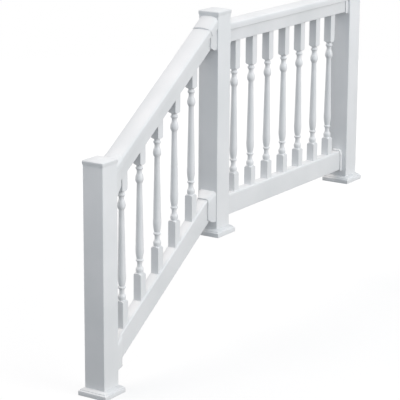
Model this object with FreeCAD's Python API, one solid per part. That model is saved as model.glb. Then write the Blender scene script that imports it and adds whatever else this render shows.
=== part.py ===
import FreeCAD, Part
import math
import os

# Deck railing section: one raked stair bay and one level bay between three sleeved posts.
# Origin at the centre of the lower post's foot, X uphill along the railing, Z up, millimetres.

# Posts
post_width = 100.0
sleeve_wall = 5.0
sleeve_height = 985.0
sleeve_corner = 3.0
core_clearance = 0.5
core_drop = 45.0
stair_span = 842.0
stair_rise = 498.0
level_span = 1172.0
slip_clearance = 0.3

# Post caps, measured from the top of the sleeve
cap_lip_width = 105.0
cap_edge_over_sleeve = 12.0
cap_lip_depth = 8.0
cap_cove_depth = 6.0
cap_skirt_wall = 1.2
cap_skirt_drop = 5.0
cap_rise = 9.0
cap_flat_width = 30.0

# Base trims
trim_width = 141.0
trim_plinth = 19.0
trim_ledge_inset = 6.0
trim_ledge_rise = 3.0
trim_step = 3.0
trim_bevel_rise = 8.0
trim_top_lip = 1.7

# Top rails, one profile for both bays
head_width = 90.0
head_depth = 31.0
head_round = 9.0
head_crown = 3.0
web_width = 66.0
top_rail_depth = 87.0

# Bottom rails, one profile for both bays
bottom_width = 50.0
bottom_depth = 94.0
bottom_flat = 38.4
bottom_round = 9.0

# Places of the rails at each post face: top rails below the sleeve's top, bottom rails above the foot
stair_top_drop = 20.0
stair_bottom_height = 198.0
level_top_drop = 48.0
level_bottom_height = 160.5

# Brackets: boots on the post faces that take the rails' ends
lower_boot_length = 45.0
upper_top_boot_length = 60.0
upper_bottom_boot_length = 43.0
level_boot_length = 20.0
boot_wall = 5.5
boot_clearance = 0.6
boot_seat = 8.0
lower_boot_seat = 25.0
boot_cheek = 4.0
top_boot_wing = 2.0
top_boot_round = 18.0
top_boot_lift = 2.8
top_boot_heel_cheek = 10.0
bottom_boot_heel_wing = 15.0
bottom_boot_heel_cheek = 20.0
bottom_boot_toe_wing = 12.0
bottom_boot_toe_cheek = 13.0
bottom_boot_neck_wing = 1.0
bottom_boot_neck_round = 28.0
lower_top_boot_drop = 16.0
lower_top_boot_slant = 50.0
lower_bottom_boot_drop = 15.0
lower_bottom_boot_slant = 9.0
upper_top_boot_setback = 20.0
upper_bottom_boot_setback = 4.0
upper_bottom_boot_lift = 8.0
upper_boot_nib = 14.0
upper_boot_nib_run = 20.0

# Balusters
baluster_width = 37.7
stair_first_place = 145.4
stair_pitch = 128.5
stair_count = 5
level_pitch = 142.0
level_count = 7
stair_turned_share = 0.709
stair_lower_share = 0.159
level_turned_share = 0.680
level_lower_share = 0.124
turned_sides = 16

post_half = post_width / 2
bore_width = post_width - 2 * sleeve_wall
slip_width = post_width + 2 * slip_clearance
slope = stair_rise / (stair_span - post_width)
baluster_half = baluster_width / 2

V = FreeCAD.Vector
os.makedirs("parts", exist_ok=True)


def save(shape, node):
    shape.exportStep("parts/" + node + ".step")


def block(width, z0, z1):
    return Part.makeBox(width, width, z1 - z0, V(-width / 2, -width / 2, z0))


def square(half, z):
    return [V(-half, -half, z), V(half, -half, z), V(half, half, z), V(-half, half, z)]


def ring(radius, z):
    turns = [2 * math.pi * (i + 0.5) / turned_sides for i in range(turned_sides)]
    return [V(radius * math.cos(turn), radius * math.sin(turn), z) for turn in turns]


def flat(corners):
    return Part.Face(Part.makePolygon(corners + corners[:1]))


def layered(rings, twisted=False):
    # A solid of flat faces between successive rings of points, closed at both ends
    faces = [flat(rings[0]), flat(rings[-1])]
    for below, above in zip(rings, rings[1:]):
        for i in range(len(below)):
            j = (i + 1) % len(below)
            if twisted:
                faces.append(flat([below[i], below[j], above[j]]))
                faces.append(flat([below[i], above[j], above[i]]))
            else:
                faces.append(flat([below[i], below[j], above[j], above[i]]))
    shell = Part.Shell(faces)
    shell.sewShape()
    return Part.Solid(shell)


def stack(levels):
    # Square layers, each given as half width and height
    return layered([square(half, z) for half, z in levels])


def post_core():
    return block(bore_width - 2 * core_clearance, 0, sleeve_height - core_drop)


def post_sleeve():
    outer = block(post_width, 0, sleeve_height)
    upright = [e for e in outer.Edges if abs(e.Vertexes[0].Z - e.Vertexes[1].Z) > 1]
    outer = outer.makeFillet(sleeve_corner, upright)
    return outer.cut(block(bore_width, 0, sleeve_height))


def post_cap():
    lip = cap_lip_width / 2
    skirt = slip_width / 2 + cap_skirt_wall
    foot = sleeve_height - cap_skirt_drop
    edge = sleeve_height + cap_edge_over_sleeve
    lip_under = edge - cap_lip_depth
    cove_under = lip_under - cap_cove_depth
    cove_bend = lip_under - cap_cove_depth * 0.35
    cove_half = skirt + (lip - skirt) * 0.3
    levels = [(skirt, foot), (skirt, cove_under), (cove_half, cove_bend), (lip, lip_under), (lip, edge)]
    levels.append((cap_flat_width / 2, edge + cap_rise))
    return stack(levels).cut(block(slip_width, foot, sleeve_height))


def base_trim():
    half = trim_width / 2
    ledge = half - trim_ledge_inset
    ledge_z = trim_plinth + trim_ledge_rise
    step_z = ledge_z + trim_step
    top_z = step_z + trim_bevel_rise
    levels = [(half, 0), (half, trim_plinth), (ledge, ledge_z), (ledge, step_z)]
    levels.append((slip_width / 2 + trim_top_lip, top_z))
    return stack(levels).cut(block(slip_width, 0, top_z))


def arc(start, middle, end):
    return Part.Arc(start, middle, end).toShape()


def top_outline(x, z_top, z_low, stretch, over=0.0, wing=0.0, sides=0.0, turn=head_round):
    # Crowned head over a narrower web, in an upright plane; over, wing and sides grow it outward
    head = head_width / 2 + wing
    web = web_width / 2 + sides
    top = z_top + over * stretch
    lip = z_top - (head_depth + wing) * stretch
    turn_z = top - turn * stretch
    flat = head - turn
    bend_y = flat + turn * math.sqrt(0.5)
    bend_z = turn_z + turn * stretch * math.sqrt(0.5)
    return [
        arc(V(x, -flat, top), V(x, 0, top + head_crown * stretch), V(x, flat, top)),
        arc(V(x, flat, top), V(x, bend_y, bend_z), V(x, head, turn_z)),
        Part.makeLine(V(x, head, turn_z), V(x, head, lip)),
        Part.makeLine(V(x, head, lip), V(x, web, lip)),
        Part.makeLine(V(x, web, lip), V(x, web, z_low)),
        Part.makeLine(V(x, web, z_low), V(x, -web, z_low)),
        Part.makeLine(V(x, -web, z_low), V(x, -web, lip)),
        Part.makeLine(V(x, -web, lip), V(x, -head, lip)),
        Part.makeLine(V(x, -head, lip), V(x, -head, turn_z)),
        arc(V(x, -head, turn_z), V(x, -bend_y, bend_z), V(x, -flat, top)),
    ]


def bottom_outline(x, z_top, z_low, stretch, over=0.0, wing=0.0, sides=0.0, turn=bottom_round):
    # Flat seat for the balusters with rounded shoulders
    half = bottom_width / 2 + sides
    seat = bottom_flat / 2 + wing
    top = z_top + over * stretch
    turn_z = z_top - turn * stretch
    bend_y = seat + (half - seat) * math.sqrt(0.5)
    bend_z = turn_z + (top - turn_z) * math.sqrt(0.5)
    return [
        Part.makeLine(V(x, -seat, top), V(x, seat, top)),
        arc(V(x, seat, top), V(x, bend_y, bend_z), V(x, half, turn_z)),
        Part.makeLine(V(x, half, turn_z), V(x, half, z_low)),
        Part.makeLine(V(x, half, z_low), V(x, -half, z_low)),
        Part.makeLine(V(x, -half, z_low), V(x, -half, turn_z)),
        arc(V(x, -half, turn_z), V(x, -bend_y, bend_z), V(x, -seat, top)),
    ]


def straight(face, x0, x1, rise):
    # A length of rail between two upright planes
    return face.extrude(V(x1 - x0, 0, (x1 - x0) * rise))


def facets(edges):
    # The outline's corners, its arcs in five steps
    points = []
    for edge in edges:
        steps = 5 if edge.Curve.TypeId == "Part::GeomCircle" else 1
        points = points + edge.discretize(steps + 1)[:-1]
    return points


def boot(kind, end, x_post, x_front, seat, rise, low_post, low_front):
    # A hooded bracket that widens towards the post, its front open to take the rail's end
    stretch = math.hypot(1.0, rise)
    outline, line = kind["outline"], kind["line"]
    heel_wing, heel_cheek, heel_round = kind["heel"]
    wing, cheek, turn = kind[end]
    over = boot_wall + kind["lift"]
    heel = outline(x_post, line(x_post), low_post, stretch, over, heel_wing, heel_cheek, heel_round)
    front = outline(x_front, line(x_front), low_front, stretch, boot_wall, wing, cheek, turn)
    body = layered([facets(heel), facets(front)], True)
    x_seat = x_post + math.copysign(seat, x_front - x_post)
    slot_low = line(x_seat) - (kind["depth"] + boot_clearance) * stretch
    slot = outline(x_seat, line(x_seat), slot_low, stretch, boot_clearance, boot_clearance, boot_clearance)
    return body.cut(straight(flat(facets(slot)), x_seat, x_front, rise))


def cut_front(body, x_front, x_cheek, z_rim, sole):
    # Cuts the open end of an upper boot: hood square to the rail, cheeks upright, lower corner slanted
    y = -post_half
    x_nib = x_cheek + upper_boot_nib_run
    corners = [V(x_front, y, z_rim), V(x_cheek, y, z_rim - (x_cheek - x_front) / slope)]
    corners = corners + [V(x_cheek, y, sole + upper_boot_nib), V(x_nib, y, sole)]
    corners = corners + [V(x_nib, y, sole - boot_wall), V(x_front, y, sole - boot_wall)]
    return body.cut(flat(corners).extrude(V(0, post_width, 0)))


def saddle(x0, x1, lip, low):
    # A plain U under the head of a level top rail, open at both ends
    length = x1 - x0
    outer = web_width + 2 * boot_wall
    inner = web_width + 2 * boot_clearance
    bed = low + boot_wall - boot_clearance
    body = Part.makeBox(length, outer, lip - low, V(x0, -outer / 2, low))
    return body.cut(Part.makeBox(length, inner, lip - bed, V(x0, -inner / 2, bed)))


def turned_part(z_top, length):
    # Outline of the turning: shares of its length below the upper block, and of the block's half width
    def at(drop, radius):
        return V(radius * baluster_half, 0, z_top - drop * length)

    def curve(start, middle, end):
        return arc(at(*start), at(*middle), at(*end))

    outline = [
        (curve((0.0, 0.74), (0.01, 0.67), (0.02, 0.66)), 1),
        (curve((0.02, 0.66), (0.033, 0.87), (0.046, 0.66)), 4),
        (curve((0.046, 0.66), (0.066, 0.59), (0.085, 0.68)), 2),
        (curve((0.085, 0.68), (0.106, 0.87), (0.13, 0.95)), 2),
        (curve((0.13, 0.95), (0.15, 0.87), (0.164, 0.68)), 2),
        (Part.makeLine(at(0.164, 0.68), at(0.171, 0.61)), 1),
        (Part.makeLine(at(0.171, 0.61), at(0.74, 0.90)), 1),
        (curve((0.74, 0.90), (0.82, 0.875), (0.869, 0.65)), 3),
        (curve((0.869, 0.65), (0.881, 0.88), (0.893, 0.64)), 4),
        (curve((0.893, 0.64), (0.92, 0.57), (0.943, 0.66)), 2),
        (curve((0.943, 0.66), (0.953, 0.83), (0.966, 0.91)), 2),
        (curve((0.966, 0.91), (0.984, 0.87), (1.0, 0.74)), 2),
    ]
    first = at(0.0, 0.74)
    rings = [ring(first.x, first.z)]
    for edge, steps in outline:
        for point in edge.discretize(steps + 1)[1:]:
            rings.append(ring(point.x, point.z))
    return layered(rings)


def end_block(z_end, z_rail, rise):
    # Square block from a turned shoulder to the rail, its far end cut to the rail's slope
    half = baluster_half
    corners = [V(-half, -half, z_end), V(half, -half, z_end)]
    corners = corners + [V(half, -half, z_rail + half * rise), V(-half, -half, z_rail - half * rise)]
    square_end = flat(corners).extrude(V(0, baluster_width, 0))
    reach = z_rail - z_end
    away = math.copysign(1.0, reach)
    corner = half * math.sqrt(2) * 1.03
    shoulder = z_end + away * half * 0.36
    rings = [ring(half * 1.02, z_end), ring(corner, shoulder), ring(corner, z_rail + away * baluster_width)]
    return square_end.common(layered(rings))


def baluster(x, z_seat, z_head, lower_share, turned_share, rise):
    clear = z_head - z_seat
    z_low = z_seat + clear * lower_share
    z_high = z_low + clear * turned_share
    body = turned_part(z_high, z_high - z_low)
    body = body.fuse(end_block(z_low, z_seat, rise))
    body = body.fuse(end_block(z_high, z_head, rise))
    body.translate(V(x, 0, 0))
    return body


def stair_top(x):
    return sleeve_height - stair_top_drop + (x - post_half) * slope


def stair_bottom(x):
    return stair_bottom_height + (x - post_half) * slope


def level_top(x):
    return stair_rise + sleeve_height - level_top_drop


def level_bottom(x):
    return stair_rise + level_bottom_height


# Posts with their cores, caps and base trims
middle_x = stair_span
end_x = stair_span + level_span
post_pieces = (("core", post_core), ("sleeve", post_sleeve), ("cap", post_cap), ("base_trim", base_trim))
for place, x, z in (("lower", 0.0, 0.0), ("middle", middle_x, stair_rise), ("end", end_x, stair_rise)):
    for piece, make in post_pieces:
        shape = make()
        shape.translate(V(x, 0, z))
        save(shape, place + "_post_" + piece)

# Stair rails and their boots
rake = math.hypot(1.0, slope)
stair_start = post_half
stair_end = stair_span - post_half
stair_toe = stair_start + lower_boot_length
top_kind = {  # ends of a boot as wing, cheek and round
    "outline": top_outline, "line": stair_top, "depth": top_rail_depth, "lift": top_boot_lift,
    "heel": (top_boot_wing, top_boot_heel_cheek, top_boot_round),
    "toe": (top_boot_wing, boot_cheek, top_boot_round),
    "neck": (top_boot_wing, boot_cheek, top_boot_round),
}
bottom_kind = {
    "outline": bottom_outline, "line": stair_bottom, "depth": bottom_depth, "lift": 0.0,
    "heel": (bottom_boot_heel_wing, bottom_boot_heel_cheek, bottom_round),
    "toe": (bottom_boot_toe_wing, bottom_boot_toe_cheek, bottom_round),
    "neck": (bottom_boot_neck_wing, boot_cheek, bottom_boot_neck_round),
}
stair_rails = (
    ("top", top_kind, lower_top_boot_drop, lower_top_boot_slant,
     upper_top_boot_length, upper_top_boot_setback, 0.0),
    ("bottom", bottom_kind, lower_bottom_boot_drop, lower_bottom_boot_slant,
     upper_bottom_boot_length, upper_bottom_boot_setback, upper_bottom_boot_lift),
)
for name, kind, drop, slant, upper_length, setback, lift in stair_rails:
    line = kind["line"]
    under = kind["depth"] * rake
    x_cut = stair_start + lower_boot_seat
    edges = kind["outline"](x_cut, line(x_cut), line(x_cut) - under, rake)
    rail = straight(Part.Face(Part.Wire(edges)), x_cut, stair_end - boot_seat, slope)
    save(rail, "stair_" + name + "_rail")
    toe_z = line(stair_toe) - under - drop
    lower = boot(kind, "toe", stair_start, stair_toe, lower_boot_seat, slope, toe_z - slant, toe_z)
    save(lower, "stair_" + name + "_boot_lower")
    x_front = stair_end - upper_length
    x_cheek = x_front + setback
    sole = line(x_cheek) - under + lift
    upper = boot(kind, "neck", stair_end, x_front, boot_seat, slope, sole, sole)
    upper = cut_front(upper, x_front, x_cheek, line(x_front) + boot_wall * rake, sole)
    save(upper, "stair_" + name + "_boot_upper")

# Level rails: the top one butts on the posts over saddles, the bottom one sits in boots
level_start = middle_x + post_half
level_end = end_x - post_half
near_front = level_start + level_boot_length
far_front = level_end - level_boot_length
z_rail = level_top(level_start)
edges = top_outline(level_start, z_rail, z_rail - top_rail_depth, 1.0)
save(straight(Part.Face(Part.Wire(edges)), level_start, level_end, 0.0), "level_top_rail")
lip = z_rail - head_depth - boot_clearance
sole = z_rail - top_rail_depth - boot_wall
save(saddle(level_start, near_front, lip, sole), "level_top_boot_near")
save(saddle(far_front, level_end, lip, sole), "level_top_boot_far")

level_kind = dict(bottom_kind, line=level_bottom, heel=bottom_kind["neck"])
z_rail = level_bottom(level_start)
x_cut = level_start + boot_seat
edges = bottom_outline(x_cut, z_rail, z_rail - bottom_depth, 1.0)
save(straight(Part.Face(Part.Wire(edges)), x_cut, level_end - boot_seat, 0.0), "level_bottom_rail")
sole = z_rail - bottom_depth - boot_wall
near = boot(level_kind, "neck", level_start, near_front, boot_seat, 0.0, sole, sole)
save(near, "level_bottom_boot_near")
far = boot(level_kind, "neck", level_end, far_front, boot_seat, 0.0, sole, sole)
save(far, "level_bottom_boot_far")

# Balusters
for index in range(stair_count):
    x = stair_first_place + index * stair_pitch
    head = stair_top(x) - top_rail_depth * rake
    piece = baluster(x, stair_bottom(x), head, stair_lower_share, stair_turned_share, slope)
    save(piece, "stair_baluster_" + str(index + 1))

level_first_place = middle_x + (level_span - (level_count - 1) * level_pitch) / 2
for index in range(level_count):
    x = level_first_place + index * level_pitch
    head = level_top(x) - top_rail_depth
    piece = baluster(x, level_bottom(x), head, level_lower_share, level_turned_share, 0.0)
    save(piece, "level_baluster_" + str(index + 1))
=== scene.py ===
import math
import bmesh
import bpy
from mathutils import Matrix, Vector


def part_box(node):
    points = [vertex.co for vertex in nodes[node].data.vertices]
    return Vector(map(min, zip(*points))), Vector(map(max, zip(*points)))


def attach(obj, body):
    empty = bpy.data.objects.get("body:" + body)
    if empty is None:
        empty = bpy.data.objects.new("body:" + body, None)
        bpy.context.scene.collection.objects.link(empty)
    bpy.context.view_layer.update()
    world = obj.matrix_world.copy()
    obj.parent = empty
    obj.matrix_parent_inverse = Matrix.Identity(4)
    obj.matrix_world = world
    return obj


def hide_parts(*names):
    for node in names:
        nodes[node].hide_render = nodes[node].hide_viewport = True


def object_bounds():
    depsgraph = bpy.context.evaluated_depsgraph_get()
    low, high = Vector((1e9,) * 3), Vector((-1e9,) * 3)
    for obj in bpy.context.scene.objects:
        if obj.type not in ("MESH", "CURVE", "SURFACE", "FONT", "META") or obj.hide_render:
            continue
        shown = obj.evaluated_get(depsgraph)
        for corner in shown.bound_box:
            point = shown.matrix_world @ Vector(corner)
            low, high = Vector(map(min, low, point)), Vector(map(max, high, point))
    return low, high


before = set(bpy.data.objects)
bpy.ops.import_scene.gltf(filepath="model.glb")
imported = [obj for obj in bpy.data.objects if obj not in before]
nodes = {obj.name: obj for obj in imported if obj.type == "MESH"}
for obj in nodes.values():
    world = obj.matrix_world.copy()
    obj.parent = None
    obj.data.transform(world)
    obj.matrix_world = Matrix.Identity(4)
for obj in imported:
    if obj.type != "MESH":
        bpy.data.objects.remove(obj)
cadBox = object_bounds()
mm = 0.001
tiny = 1e-9  # below this a value counts as zero
quarterTurn = math.pi / 2
print("frame:", len(nodes), "nodes")


def linear(hexColour):
    # sRGB's own curve, with full alpha
    channels = [int(hexColour[i:i + 2], 16) / 255 for i in (1, 3, 5)]
    curved = [c / 12.92 if c <= 0.04045 else ((c + 0.055) / 1.055) ** 2.4 for c in channels]
    return (*curved, 1.0)


def addNode(tree, kind, inputs=None, **settings):
    node = tree.nodes.new(kind)
    for name, value in settings.items():
        setattr(node, name, value)
    for socket, value in (inputs or {}).items():
        if isinstance(value, bpy.types.NodeSocket):
            tree.links.new(value, node.inputs[socket])
        else:
            node.inputs[socket].default_value = value
    return node


def newMaterial(name, roughness, ior):
    material = bpy.data.materials.new(name)
    material.use_nodes = True
    tree = material.node_tree
    shader = tree.nodes["Principled BSDF"]
    shader.inputs["Roughness"].default_value = roughness
    shader.inputs["IOR"].default_value = ior
    return material, tree, shader


def objectPlace(tree):
    return addNode(tree, "ShaderNodeTexCoord").outputs["Object"]


octaves = {"smooth": 1.0, "plain": 2.0, "busy": 3.0}  # finer layers that a noise adds to itself


def noise(tree, place, size, grade="plain"):
    # even pattern, its features about that many mm across
    return addNode(tree, "ShaderNodeTexNoise", {
        "Vector": place, "Scale": 1 / (size * mm), "Detail": octaves[grade]}).outputs["Fac"]


def drawnNoise(tree, place, sizes, grade="plain", tilt=0.0):
    # pattern with its own size in mm along each axis, turned about Y before it is drawn out
    drawn = addNode(tree, "ShaderNodeMapping", {
        "Vector": place, "Rotation": (0, tilt, 0), "Scale": [size * mm for size in sizes]},
        vector_type="TEXTURE").outputs["Vector"]
    return addNode(tree, "ShaderNodeTexNoise", {
        "Vector": drawn, "Scale": 1.0, "Detail": octaves[grade]}).outputs["Fac"]


def twoTone(tree, factor, low, high, edges):
    # one colour up to the first edge, another from the second, blended between
    ramp = addNode(tree, "ShaderNodeValToRGB", {"Fac": factor})
    for element, place, colour in zip(ramp.color_ramp.elements, edges, (low, high)):
        element.position = place
        element.color = linear(colour)
    return ramp.outputs["Color"]


def bumps(tree, shader, layers):
    # stacks height patterns, each with its real height in mm
    normal = None
    for height, depth in layers:
        inputs = {"Height": height, "Distance": depth * mm, "Strength": 1.0}
        if normal:
            inputs["Normal"] = normal
        normal = addNode(tree, "ShaderNodeBump", inputs).outputs["Normal"]
    tree.links.new(normal, shader.inputs["Normal"])


# Materials: sizes and heights of patterns in mm

vinylWhite = {
    "clean": "#eff0f1",  # titanium white PVC
    "dull": "#e8eaeb",  # a little chalked by weather
    "patch": 240,  # across the clean and dull areas
    "tintEdges": (0.35, 0.65),  # pattern values where dull ends and clean starts
    "glossEdges": (0.3, 0.7),  # the same for rough and smooth
    "ior": 1.53,
}


def vinylBase(name, roughness, spread):
    # colour and gloss that all the vinyl pieces share: slow, barely visible changes over the surface
    material, tree, shader = newMaterial(name, roughness, vinylWhite["ior"])
    place = objectPlace(tree)
    patch = noise(tree, place, vinylWhite["patch"], "busy")
    tint = twoTone(tree, patch, vinylWhite["dull"], vinylWhite["clean"], vinylWhite["tintEdges"])
    tree.links.new(tint, shader.inputs["Base Color"])
    dullEnd, cleanEnd = vinylWhite["glossEdges"]
    gloss = addNode(tree, "ShaderNodeMapRange", {
        "Value": patch, "From Min": dullEnd, "From Max": cleanEnd,
        "To Min": roughness + spread, "To Max": roughness - spread})
    tree.links.new(gloss.outputs["Result"], shader.inputs["Roughness"])
    return material, tree, shader, place


def extrudedVinyl(name, tilt):
    # PVC drawn through a die: satin, with faint lines along its length and slow waves left by cooling
    spec = {
        "roughness": 0.40,
        "spread": 0.05,
        "lineGap": 7,  # drawn coarse
        "lineRun": 900,
        "lineHeight": 0.05,
        "wave": 130,
        "waveHeight": 0.25,
    }
    material, tree, shader, place = vinylBase(name, spec["roughness"], spec["spread"])
    lineSizes = (spec["lineGap"], spec["lineGap"], spec["lineRun"])
    lines = drawnNoise(tree, place, lineSizes, tilt=tilt)
    waves = noise(tree, place, spec["wave"], "smooth")
    bumps(tree, shader, [(waves, spec["waveHeight"]), (lines, spec["lineHeight"])])
    return material


def mouldedVinyl(name):
    # injection moulded PVC: a slightly duller skin with the fine grain of an eroded mould
    spec = {
        "roughness": 0.46,
        "spread": 0.04,
        "grain": 2.4,  # drawn coarse
        "grainHeight": 0.05,
        "sink": 45,
        "sinkHeight": 0.12,
    }
    material, tree, shader, place = vinylBase(name, spec["roughness"], spec["spread"])
    grain = noise(tree, place, spec["grain"])
    sink = noise(tree, place, spec["sink"])
    bumps(tree, shader, [(sink, spec["sinkHeight"]), (grain, spec["grainHeight"])])
    return material


def turnedVinyl(name):
    # balusters formed as turnings: satin skin with faint rings round the axis
    spec = {
        "roughness": 0.42,
        "spread": 0.05,
        "ringGap": 3.5,  # drawn coarse
        "ringTurn": 160,
        "ringHeight": 0.035,
        "wave": 60,
        "waveHeight": 0.1,
    }
    material, tree, shader, place = vinylBase(name, spec["roughness"], spec["spread"])
    ringSizes = (spec["ringTurn"], spec["ringTurn"], spec["ringGap"])
    rings = drawnNoise(tree, place, ringSizes, "smooth")
    waves = noise(tree, place, spec["wave"])
    bumps(tree, shader, [(waves, spec["waveHeight"]), (rings, spec["ringHeight"])])
    return material


def sawnPine(name):
    # pressure treated pine, rough sawn: greenish straw, rings on the ends, saw marks across the sides
    spec = {
        "early": "#b9a877",
        "late": "#8d7a49",
        "tintEdges": (0.35, 0.9),
        "roughness": 0.78,
        "ior": 1.5,
        "ringGap": 6,
        "pith": (31, 44),  # off the post's axis
        "alongGrain": 0.04,  # how fast the rings change along the post, against across it
        "wander": 3.0,  # radians that a ring strays
        "wanderScale": 1.5,
        "sawGap": 3,
        "sawRun": 60,
        "sawHeight": 0.4,
    }
    material, tree, shader = newMaterial(name, spec["roughness"], spec["ior"])
    place = objectPlace(tree)
    pithX, pithY = (off * mm for off in spec["pith"])
    grain = addNode(tree, "ShaderNodeMapping", {
        "Vector": place, "Location": (pithX, pithY, 0),
        "Scale": (1, 1, spec["alongGrain"])}).outputs["Vector"]
    nodeTurns = 20  # radians a metre in the wave node at scale 1
    growth = addNode(tree, "ShaderNodeTexWave", {
        "Vector": grain, "Scale": 2 * math.pi / nodeTurns / (spec["ringGap"] * mm),
        "Distortion": spec["wander"], "Detail": octaves["plain"],
        "Detail Scale": spec["wanderScale"]},
        wave_type="RINGS", rings_direction="Z").outputs["Fac"]
    tint = twoTone(tree, growth, spec["early"], spec["late"], spec["tintEdges"])
    tree.links.new(tint, shader.inputs["Base Color"])
    sawSizes = (spec["sawRun"], spec["sawRun"], spec["sawGap"])
    saw = drawnNoise(tree, place, sawSizes, "busy")
    bumps(tree, shader, [(saw, spec["sawHeight"])])
    return material


def coatedSteel(name):
    # white powder coated screws: glossier than the vinyl, with the orange peel of a baked coat
    spec = {
        "coat": "#eceded",
        "worn": "#d9dcdd",
        "tintEdges": (0.25, 0.5),
        "roughness": 0.32,
        "ior": 1.5,
        "peel": 1.2,
        "peelHeight": 0.02,
    }
    material, tree, shader = newMaterial(name, spec["roughness"], spec["ior"])
    peel = noise(tree, objectPlace(tree), spec["peel"])
    tint = twoTone(tree, peel, spec["worn"], spec["coat"], spec["tintEdges"])
    tree.links.new(tint, shader.inputs["Base Color"])
    bumps(tree, shader, [(peel, spec["peelHeight"])])
    return material


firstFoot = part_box("stair_baluster_1")[0]
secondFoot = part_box("stair_baluster_2")[0]
stairSlope = (secondFoot.z - firstFoot.z) / (secondFoot.x - firstFoot.x)
level = quarterTurn  # tilt that lays lines along X instead of up the post
materials = {
    "sleeve": extrudedVinyl("sleeve_extruded_vinyl", 0.0),
    "stairRail": extrudedVinyl("stair_rail_extruded_vinyl", level - math.atan(stairSlope)),
    "levelRail": extrudedVinyl("level_rail_extruded_vinyl", level),
    "moulded": mouldedVinyl("moulded_vinyl_satin"),
    "baluster": turnedVinyl("turned_vinyl_satin"),
    "core": sawnPine("treated_pine_sawn"),
    "screw": coatedSteel("powder_coated_steel"),
}
print("materials:", len(materials))


def toMesh(work, name):
    mesh = bpy.data.meshes.new(name)
    work.to_mesh(mesh)
    work.free()
    return mesh


def finishMesh(mesh, crispAngle):
    # smooth shading, with edges sharper than the angle left crisp
    mesh.shade_smooth()
    mesh.set_sharp_from_angle(angle=math.radians(crispAngle))
    return mesh


def joinLoops(work, loops):
    # quads between neighbouring loops of the same count
    for first, second in zip(loops, loops[1:]):
        for i in range(len(first)):
            j = (i + 1) % len(first)
            work.faces.new((first[i], first[j], second[j], second[i]))


def addPiece(name, mesh, material, place=(0, 0, 0)):
    mesh.materials.append(material)
    piece = bpy.data.objects.new(name, mesh)
    piece.location = place
    bpy.context.scene.collection.objects.link(piece)
    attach(piece, "root")
    return piece


# Straight and moulded pieces: the solid's own faces with every hard arris eased

easing = {  # radii in mm: arris on the hard edges, rim on those at the sides of the piece's box
    "sleeve": {"arris": 0.6, "skin": "sleeve", "slot": "sleeve_vinyl"},
    "cap": {"arris": 0.5, "rim": 3.2, "skin": "moulded", "slot": "moulded_vinyl"},
    "base_trim": {"arris": 0.8, "rim": 1.8, "skin": "moulded", "slot": "moulded_vinyl"},
    "top_rail": {"arris": 2.4, "skin": "rail", "slot": "rail_vinyl"},
    "bottom_rail": {"arris": 3.6, "skin": "rail", "slot": "rail_vinyl"},
    "boot": {"arris": 1.2, "weld": 0.6, "skin": "moulded", "slot": "moulded_vinyl"},
    "core": {"arris": 2.0, "skin": "core", "slot": "post_timber"},
}
rounding = {
    "weld": 0.005,  # mm; shorter edges are closed up, unless the piece has its own weld
    "flatAngle": 0.4,  # degrees; faces that meet flatter than this become one
    "hardAngle": 46,  # degrees; edges sharper than this are eased
    "crispAngle": 40,
    "rimReach": 0.05,  # mm from a side of the box
    "steps": 4,  # facets round an eased edge
    "profile": 0.5,  # a round one
}


def roundEdges(work, edges, radius):
    bmesh.ops.bevel(
        work, geom=edges, offset=radius * mm, offset_type="OFFSET", segments=rounding["steps"],
        profile=rounding["profile"], affect="EDGES", clamp_overlap=True, harden_normals=False)


def hardEdges(work):
    bends = [e for e in work.edges if len(e.link_faces) == 2]
    return [e for e in bends if e.calc_face_angle() > math.radians(rounding["hardAngle"])]


def onRim(edge, low, high):
    # both ends on the same upright side of the piece's box
    near = rounding["rimReach"] * mm
    first, second = (v.co for v in edge.verts)
    return any(abs(first[axis] - side[axis]) < near and abs(second[axis] - side[axis]) < near
               for axis in (0, 1) for side in (low, high))


def easedMesh(node, spec):
    low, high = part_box(node)
    work = bmesh.new()
    work.from_mesh(nodes[node].data)
    weld = spec.get("weld", rounding["weld"]) * mm
    bmesh.ops.remove_doubles(work, verts=work.verts, dist=weld)
    bmesh.ops.dissolve_limit(
        work, angle_limit=math.radians(rounding["flatAngle"]), verts=work.verts, edges=work.edges,
        use_dissolve_boundaries=False)
    if "rim" in spec:
        roundEdges(work, [e for e in hardEdges(work) if onRim(e, low, high)], spec["rim"])
    roundEdges(work, hardEdges(work), spec["arris"])
    return finishMesh(toMesh(work, node + "_eased"), rounding["crispAngle"])


for kind, spec in easing.items():
    for node in sorted(n for n in nodes if kind in n):
        skin = spec["skin"]
        if skin == "rail":
            skin = "stairRail" if node.startswith("stair") else "levelRail"
        piece = addPiece(node + "_eased", easedMesh(node, spec), materials[skin])
        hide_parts(node)
print("eased pieces done")

# Turned balusters: square blocks running into a turned shaft, made as a lathe cuts a square blank

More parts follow.
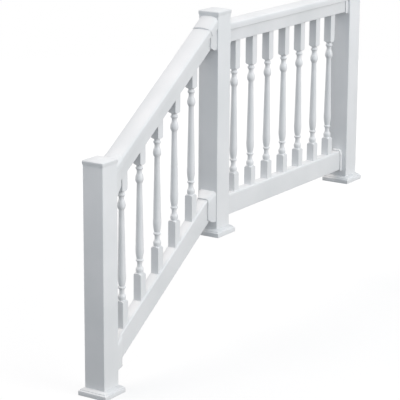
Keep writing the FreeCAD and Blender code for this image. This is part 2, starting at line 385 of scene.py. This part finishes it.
turning = {
    "arris": 1.2 * mm,  # eased corners of the blocks
    "faceSteps": 14,  # points across a flat of the block
    "arrisSteps": 3,
    "shoulder": 0.36,  # height of the shoulder, in half widths
    "shoulderSteps": 10,
    "shoulderRim": 1.02,  # lathe radius where the shoulder ends, in half widths
    "cornerReach": 1.03,  # lathe radius where the shoulder starts, in corner radii
    "rimEase": 0.7 * mm,
    "rimLift": 0.3,  # start of the rim's easing above the block's end, as a share of it
    "crispAngle": 32,
    "stair": {"lower": 0.159, "turned": 0.709},  # shares of the clear height between the rails
    "level": {"lower": 0.124, "turned": 0.680},
    # arcs down from the upper block: start, middle and end, as shares of length and half width; steps
    "outline": [
        ((0.0, 0.74), (0.01, 0.67), (0.02, 0.66), 4),
        ((0.02, 0.66), (0.033, 0.87), (0.046, 0.66), 12),
        ((0.046, 0.66), (0.066, 0.59), (0.085, 0.68), 8),
        ((0.085, 0.68), (0.106, 0.87), (0.13, 0.95), 8),
        ((0.13, 0.95), (0.15, 0.87), (0.164, 0.68), 8),
        ((0.164, 0.68), (0.1675, 0.645), (0.171, 0.61), 2),
        ((0.171, 0.61), (0.4555, 0.755), (0.74, 0.90), 6),
        ((0.74, 0.90), (0.82, 0.875), (0.869, 0.65), 12),
        ((0.869, 0.65), (0.881, 0.88), (0.893, 0.64), 12),
        ((0.893, 0.64), (0.92, 0.57), (0.943, 0.66), 8),
        ((0.943, 0.66), (0.953, 0.83), (0.966, 0.91), 6),
        ((0.966, 0.91), (0.984, 0.87), (1.0, 0.74), 8),
    ],
}


def arcPoints(start, middle, end, steps):
    # points after the start, along the circle through three points
    (ax, ay), (bx, by), (cx, cy) = start, middle, end
    bend = 2 * ((bx - ax) * (cy - ay) - (by - ay) * (cx - ax))
    shares = [i / steps for i in range(1, steps + 1)]
    if abs(bend) < tiny:  # the three lie on a line
        return [(ax + (cx - ax) * share, ay + (cy - ay) * share) for share in shares]
    squareB = (bx - ax) ** 2 + (by - ay) ** 2
    squareC = (cx - ax) ** 2 + (cy - ay) ** 2
    midX = ax + ((cy - ay) * squareB - (by - ay) * squareC) / bend
    midY = ay + ((bx - ax) * squareC - (cx - ax) * squareB) / bend
    radius = math.hypot(ax - midX, ay - midY)
    first, through, last = (math.atan2(y - midY, x - midX) for x, y in (start, middle, end))
    sweep = (last - first) % (2 * math.pi)
    if (through - first) % (2 * math.pi) > sweep:
        sweep -= 2 * math.pi
    turns = [first + sweep * share for share in shares]
    return [(midX + radius * math.cos(t), midY + radius * math.sin(t)) for t in turns]


def blankAngles(half):
    # angles round the square blank, closer together at its eased corners
    flatSteps, bendSteps = turning["faceSteps"], turning["arrisSteps"]
    reach = math.atan((half - turning["arris"]) / half)
    bend = quarterTurn - 2 * reach
    flat = [-reach + 2 * reach * i / flatSteps for i in range(flatSteps)]
    corner = [reach + bend * i / bendSteps for i in range(bendSteps)]
    return [side * quarterTurn + angle for side in range(4) for angle in flat + corner]


def blankRadius(angle, half):
    # distance from the axis to the blank's surface
    diagonal = math.pi / 4
    away = abs((angle + diagonal) % quarterTurn - diagonal)
    inner = half - turning["arris"]
    if half * math.tan(away) <= inner + tiny:
        return half / math.cos(away)
    centre = inner * math.sqrt(2)
    off = diagonal - away
    aside = centre * math.sin(off)
    return centre * math.cos(off) + math.sqrt(max(0.0, turning["arris"] ** 2 - aside ** 2))


def shoulderRings(zEnd, away, half):
    # lathe radius, height and inset, from the full square to the rim of the block's end
    corner = half * math.sqrt(2) * turning["cornerReach"]
    rim = half * turning["shoulderRim"]
    rise = turning["shoulder"] * half
    rings = []
    for i in range(turning["shoulderSteps"]):
        share = i / turning["shoulderSteps"]
        rings.append((corner + (rim - corner) * share, zEnd + away * rise * (1 - share), 0.0))
    rings.append((rim, zEnd + away * turning["rimEase"] * turning["rimLift"], 0.0))
    rings.append((rim, zEnd, turning["rimEase"]))
    return rings


def balusterRings(half, clear, shares, slope, angles):
    # radius and height round each ring, from head to seat, both ends cut to the slope of the rails
    zLow = clear * shares["lower"]
    length = clear * shares["turned"]
    zHigh = zLow + length
    blank = [blankRadius(angle, half) for angle in angles]
    rings = [[(r, clear + slope * r * math.cos(a)) for a, r in zip(angles, blank)]]
    for lathe, z, inset in shoulderRings(zHigh, 1, half):
        rings.append([(min(r, lathe) - inset, z) for r in blank])
    firstDrop, firstShare = turning["outline"][0][0]
    rings.append([(firstShare * half, zHigh - firstDrop * length)] * len(angles))
    for *points, steps in turning["outline"]:
        scaled = [(drop * length, share * half) for drop, share in points]
        for drop, radius in arcPoints(*scaled, steps):
            rings.append([(radius, zHigh - drop)] * len(angles))
    for lathe, z, inset in reversed(shoulderRings(zLow, -1, half)):
        rings.append([(min(r, lathe) - inset, z) for r in blank])
    rings.append([(r, slope * r * math.cos(a)) for a, r in zip(angles, blank)])
    return rings


def balusterMesh(name, half, clear, shares, slope):
    # stands on the middle of its seat
    angles = blankAngles(half)
    work = bmesh.new()
    loops = []
    for ring in balusterRings(half, clear, shares, slope, angles):
        points = [(r * math.cos(a), r * math.sin(a), z) for a, (r, z) in zip(angles, ring)]
        loops.append([work.verts.new(point) for point in points])
    joinLoops(work, loops)
    work.faces.new(loops[0])
    work.faces.new(loops[-1])
    bmesh.ops.recalc_face_normals(work, faces=work.faces)
    return finishMesh(toMesh(work, name), turning["crispAngle"])


for bay, slope in (("stair", stairSlope), ("level", 0.0)):
    for node in sorted(n for n in nodes if n.startswith(bay + "_baluster")):
        low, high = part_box(node)
        half = (high.x - low.x) / 2
        centre = (low + high) / 2
        zSeat = low.z + half * slope
        zHead = high.z - half * slope
        mesh = balusterMesh(node + "_turned", half, zHead - zSeat, turning[bay], slope)
        place = (centre.x, centre.y, zSeat)
        piece = addPiece(node + "_turned", mesh, materials["baluster"], place)
        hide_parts(node)
print("balusters done")

# Screws: pan heads with a cross recess, two in the underside of each boot, out of sight from above

screw = {
    "head": 8.0 * mm,  # across
    "rise": 2.6 * mm,
    "sink": 0.1 * mm,  # into the sole
    "flatShare": 0.62,  # flat top over the whole head
    "sides": 28,
    "domeSteps": 5,
    "crossArm": 1.9 * mm,
    "crossWidth": 0.9 * mm,
    "crossDepth": 1.3 * mm,
    "crossTaper": 0.7,  # foot of the recess over its mouth
    "crispAngle": 35,
    "spread": 0.5,  # place across the sole, as a share of its half width
    "turns": (-0.5, 1.5),  # radians that each one happened to stop at
}
sole = {
    "height": 0.35,  # looked for in this lowest share of a boot
    "facing": -0.5,  # highest Z of a normal that counts as facing down
    "flatness": 0.999,  # least cosine to the largest such face
}


def crossOutline():
    arm, width = screw["crossArm"], screw["crossWidth"] / 2
    quarter = [(arm, -width), (arm, width), (width, width)]
    turns = ((1, 0), (0, 1), (-1, 0), (0, -1))  # cosine and sine of each quarter turn
    return [(x * c - y * s, x * s + y * c) for c, s in turns for x, y in quarter]


def neighbours(loop):
    return zip(loop, loop[1:] + loop[:1])


def screwMesh(name):
    # head on the XY plane, rising along Z
    work = bmesh.new()
    radius = screw["head"] / 2
    flat = radius * screw["flatShare"]
    turns = [2 * math.pi * i / screw["sides"] for i in range(screw["sides"])]
    loops = []
    for step in range(screw["domeSteps"] + 1):
        lift = quarterTurn * step / screw["domeSteps"]
        r = flat + (radius - flat) * math.cos(lift)
        z = screw["rise"] * math.sin(lift)
        loops.append([work.verts.new((r * math.cos(t), r * math.sin(t), z)) for t in turns])
    joinLoops(work, loops)
    cross = crossOutline()
    taper, zFoot = screw["crossTaper"], screw["rise"] - screw["crossDepth"]
    mouth = [work.verts.new((x, y, screw["rise"])) for x, y in cross]
    foot = [work.verts.new((x * taper, y * taper, zFoot)) for x, y in cross]
    rim = [work.edges.get(pair) for pair in neighbours(loops[-1])]
    rim += [work.edges.new(pair) for pair in neighbours(mouth)]
    bmesh.ops.triangle_fill(work, edges=rim, use_beauty=True, use_dissolve=False)
    joinLoops(work, [mouth, foot])
    work.faces.new(foot)
    work.faces.new(loops[0])
    bmesh.ops.recalc_face_normals(work, faces=work.faces)
    return toMesh(work, name)


def soleOf(node):
    # centre, outward direction and half width of the flat underside of a boot
    low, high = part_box(node)
    limit = low.z + sole["height"] * (high.z - low.z)
    mesh = nodes[node].data
    faces = [f for f in mesh.polygons if f.normal.z < sole["facing"] and f.center.z < limit]
    normal = max(faces, key=lambda f: f.area).normal.copy()
    faces = [f for f in faces if f.normal.dot(normal) > sole["flatness"]]
    area = sum(f.area for f in faces)
    centre = sum((f.center * f.area for f in faces), Vector()) / area
    halfWidth = max(abs(mesh.vertices[v].co.y) for f in faces for v in f.vertices)
    return centre, normal, halfWidth


head = screwMesh("screw_head")
for node in sorted(n for n in nodes if "_boot_" in n):
    centre, normal, halfWidth = soleOf(node)
    outward = normal.to_track_quat("Z", "Y").to_matrix().to_4x4()
    work = bmesh.new()
    for side, turn in zip((-1, 1), screw["turns"]):
        across = side * halfWidth * screw["spread"]
        place = Vector((centre.x, across, centre.z)) - normal * screw["sink"]
        copy = head.copy()
        copy.transform(Matrix.Translation(place) @ outward @ Matrix.Rotation(turn, 4, "Z"))
        work.from_mesh(copy)
        bpy.data.meshes.remove(copy)
    mesh = finishMesh(toMesh(work, node + "_screws"), screw["crispAngle"])
    addPiece(node + "_screws", mesh, materials["screw"])
bpy.data.meshes.remove(head)
print("screws done")

# Studio: white paper floor, soft lamps overhead, in front and at the left, pale surround

studio = {
    "white": "#ffffff",
    "paper": "#f2f2f2",  # as the camera sees it
    "bounce": "#5c5c5c",  # what the paper throws back at the railing
    "paperRoughness": 0.9,
    "paperIor": 1.45,
    "floorRadius": 7.0,  # metres
    "floorSides": 96,
    "floorDrop": 0.3 * mm,
    "shadowShare": 0.26,  # how much of the floor's own shading shows
    "shadowNear": 1.6,  # metres from the middle where the floor starts to turn to plain white
    "shadowFar": 3.2,
    "floorWhite": 1.06,  # strength of the plain white part
    "surround": "#f3f9ff",
    "surroundStrength": 0.63,
    "backdropWhite": 1.0,  # strength of the surround as the camera sees it
    "lamps": {  # where each comes from, and its spread in degrees
        "overhead": {
            "source": (-0.15, 0.45, 0.88), "colour": "#fff1e8", "strength": 0.96, "spread": 36.0},
        "front": {
            "source": (0.10, -0.94, 0.32), "colour": "#fffdfb", "strength": 1.44, "spread": 36.0},
        "left": {
            "source": (-0.85, -0.45, 0.28), "colour": "#eaf4ff", "strength": 0.22, "spread": 28.0},
    },
}


def mathNode(tree, operation, first, second):
    node = addNode(tree, "ShaderNodeMath", {0: first, 1: second}, operation=operation)
    return node.outputs["Value"]


def seenDirectly(tree):
    # 1 for what the camera sees straight, in a gloss or through a clear thing
    path = addNode(tree, "ShaderNodeLightPath").outputs
    straight = mathNode(tree, "MAXIMUM", path["Is Camera Ray"], path["Is Glossy Ray"])
    return mathNode(tree, "MAXIMUM", straight, path["Is Transmission Ray"])


def paperMaterial():
    # seamless white paper: matt, with the object's shadow, turning to plain white away from it
    material, tree, shader = newMaterial("paper_matt", studio["paperRoughness"], studio["paperIor"])
    seen = seenDirectly(tree)
    tint = twoTone(tree, seen, studio["bounce"], studio["paper"], (0.0, 1.0))
    tree.links.new(tint, shader.inputs["Base Color"])
    shader.inputs["Specular IOR Level"].default_value = 0.0  # no gloss
    white = addNode(tree, "ShaderNodeEmission", {
        "Color": linear(studio["white"]), "Strength": studio["floorWhite"]}).outputs["Emission"]
    away = addNode(tree, "ShaderNodeVectorMath", {
        0: objectPlace(tree)}, operation="LENGTH").outputs["Value"]
    plain = addNode(tree, "ShaderNodeMapRange", {
        "Value": away, "From Min": studio["shadowNear"], "From Max": studio["shadowFar"],
        "To Min": 1 - studio["shadowShare"], "To Max": 1.0},
        interpolation_type="SMOOTHSTEP").outputs["Result"]
    mix = addNode(tree, "ShaderNodeMixShader", {
        "Fac": mathNode(tree, "MULTIPLY", plain, seen), 1: shader.outputs["BSDF"], 2: white})
    tree.links.new(mix.outputs["Shader"], tree.nodes["Material Output"].inputs["Surface"])
    return material


def paperFloor():
    work = bmesh.new()
    bmesh.ops.create_circle(
        work, cap_ends=True, segments=studio["floorSides"], radius=studio["floorRadius"])
    mesh = toMesh(work, "floor")
    mesh.materials.append(paperMaterial())
    floor = bpy.data.objects.new("floor", mesh)
    middle = (cadBox[0] + cadBox[1]) / 2
    floor.location = (middle.x, middle.y, cadBox[0].z - studio["floorDrop"])
    bpy.context.scene.collection.objects.link(floor)


def surround():
    # pale light all round, plain white where the camera sees it
    world = bpy.data.worlds.new("studio")
    bpy.context.scene.world = world
    world.use_nodes = True
    tree = world.node_tree
    light = tree.nodes["Background"]
    light.inputs["Color"].default_value = linear(studio["surround"])
    light.inputs["Strength"].default_value = studio["surroundStrength"]
    white = addNode(tree, "ShaderNodeBackground", {
        "Color": linear(studio["white"]), "Strength": studio["backdropWhite"]})
    mix = addNode(tree, "ShaderNodeMixShader", {
        "Fac": seenDirectly(tree), 1: light.outputs["Background"], 2: white.outputs["Background"]})
    tree.links.new(mix.outputs["Shader"], tree.nodes["World Output"].inputs["Surface"])


def softLamp(name, source, colour, strength, spread):
    data = bpy.data.lights.new(name, "SUN")
    data.energy = strength
    data.color = linear(colour)[:3]
    data.angle = math.radians(spread)
    lamp = bpy.data.objects.new(name, data)
    lamp.rotation_euler = Vector(source).to_track_quat("Z", "Y").to_euler()
    bpy.context.scene.collection.objects.link(lamp)


paperFloor()
surround()
for name, lamp in studio["lamps"].items():
    softLamp(name, **lamp)
bpy.context.scene.view_settings.view_transform = "Standard"
print("studio done")

# Camera

camera = {
    "focalPixels": 1806.97,  # in a 400 pixel frame
    "framePixels": 400.0,
    "sensor": 36.0,  # mm
    "yaw": 33.300,  # degrees from the railing's run
    "pitch": 14.771,  # degrees down
    "roll": 0.331,
    "distance": 7.37793,  # metres along the view to the aim point
    "aim": (0.0, 0.0, 0.450),  # on the lower post's axis
    "aimPixel": (101.011, 289.862),
    "clipEnd": 100.0,  # metres
}


def placeCamera(spec):
    yaw, pitch, roll = (math.radians(spec[k]) for k in ("yaw", "pitch", "roll"))
    ahead = Vector((math.cos(yaw), math.sin(yaw), 0))
    side = Vector((math.sin(yaw), -math.cos(yaw), 0))
    up = Vector((0, 0, 1))
    forward = ahead * math.cos(pitch) - up * math.sin(pitch)
    tilted = ahead * math.sin(pitch) + up * math.cos(pitch)
    right = side * math.cos(roll) + tilted * math.sin(roll)
    above = tilted * math.cos(roll) - side * math.sin(roll)
    centre = spec["framePixels"] / 2
    offsetRight = (spec["aimPixel"][0] - centre) / spec["focalPixels"]
    offsetUp = (centre - spec["aimPixel"][1]) / spec["focalPixels"]
    toAim = (forward + right * offsetRight + above * offsetUp) * spec["distance"]
    data = bpy.data.cameras.new("camera")
    data.sensor_width = spec["sensor"]
    data.lens = spec["focalPixels"] * spec["sensor"] / spec["framePixels"]
    data.clip_end = spec["clipEnd"]
    piece = bpy.data.objects.new("camera", data)
    turn = Matrix((right, above, -forward)).transposed().to_4x4()
    piece.matrix_world = Matrix.Translation(Vector(spec["aim"]) - toAim) @ turn
    bpy.context.scene.collection.objects.link(piece)
    bpy.context.scene.camera = piece


placeCamera(camera)
print("camera done")
